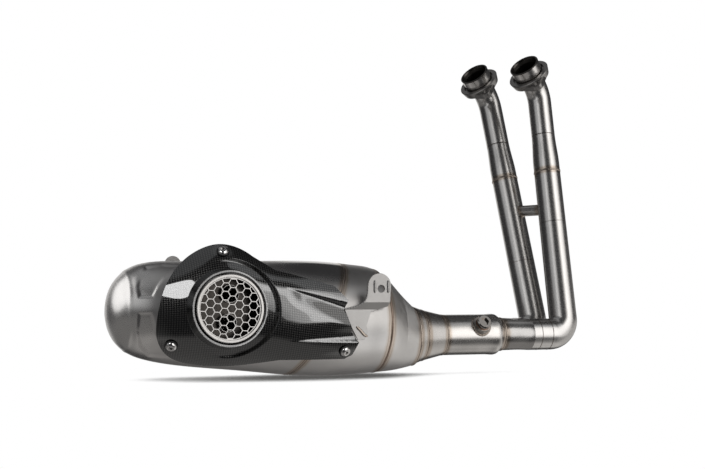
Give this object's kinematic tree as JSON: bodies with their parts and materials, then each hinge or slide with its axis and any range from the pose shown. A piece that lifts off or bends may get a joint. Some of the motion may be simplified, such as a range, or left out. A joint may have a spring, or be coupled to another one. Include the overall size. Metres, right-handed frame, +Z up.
{
  "type": "racing exhaust system",
  "caption": "Full motorcycle exhaust: twin header pipes, collector and an underslung muffler with a side outlet behind a honeycomb screen and a carbon heat shield.",
  "frame": {"origin": "centre of the bolt hole in the frame bracket's upright tab", "axes": "+X forward along the collector's axis, +Z up, -Y towards the side that the outlet faces"},
  "size_m": [0.7407, 0.2783, 0.5162],
  "materials": {
    "pipe_steel": "brushed stainless steel, heat tinted at the welds",
    "collar_steel": "machined stainless steel",
    "flange_steel": "dark phosphated steel, satin",
    "muffler_titanium": "satin titanium",
    "outlet_steel": "brushed stainless steel",
    "mesh_steel": "satin stainless steel",
    "inner_steel": "sooted stainless steel",
    "carbon": "plain-weave carbon laminate under clear lacquer",
    "screw_steel": "plain stainless fasteners",
    "washer_rubber": "black rubber",
    "washer_copper": "copper crush washer",
    "glass_fibre": "glass-fibre packing"
  },
  "bodies": {
    "exhaust": {"spigot_right": "collar_steel", "header_upper_right": "pipe_steel", "header_step_right": "pipe_steel", "header_lower_right": "pipe_steel", "elbow_right": "pipe_steel", "sleeve_right": "pipe_steel", "spigot_left": "collar_steel", "header_upper_left": "pipe_steel", "header_step_left": "pipe_steel", "header_lower_left": "pipe_steel", "elbow_left": "pipe_steel", "sleeve_left": "pipe_steel", "crossover_tube": "pipe_steel", "collector": "pipe_steel", "link_pipe": "pipe_steel", "lambda_bung": "pipe_steel", "lambda_washer": "washer_copper", "lambda_plug": "screw_steel", "inlet_cone": "muffler_titanium", "muffler_front_cone": "muffler_titanium", "muffler_front_shell": "muffler_titanium", "muffler_main_shell": "muffler_titanium", "muffler_rear_cap": "muffler_titanium", "frame_bracket": "muffler_titanium", "rear_hanger": "muffler_titanium", "shield_bosses": "muffler_titanium", "core_tube": "inner_steel", "front_baffle": "inner_steel", "rear_baffle": "inner_steel", "outlet_cup": "inner_steel", "tail_tube_upper": "inner_steel", "tail_tube_lower": "inner_steel", "packing": "glass_fibre", "outlet_ring": "outlet_steel", "outlet_mesh": "mesh_steel", "carbon_shield": "carbon", "shield_washers": "washer_rubber", "shield_screws": "screw_steel"},
    "flange_right": {"port_flange_right": "flange_steel"},
    "flange_left": {"port_flange_left": "flange_steel"}
  },
  "joints": [
    {"name": "flange_right_turn", "type": "hinge", "parent": "exhaust", "child": "flange_right", "pos_m": [0.32019, 0.14166, 0.35207], "axis": [-0.6561, -0.3285, 0.6794], "continuous": true},
    {"name": "flange_left_turn", "type": "hinge", "parent": "exhaust", "child": "flange_left", "pos_m": [0.27429, 0.23331, 0.35207], "axis": [-0.6561, -0.3285, 0.6794], "continuous": true}
  ]
}
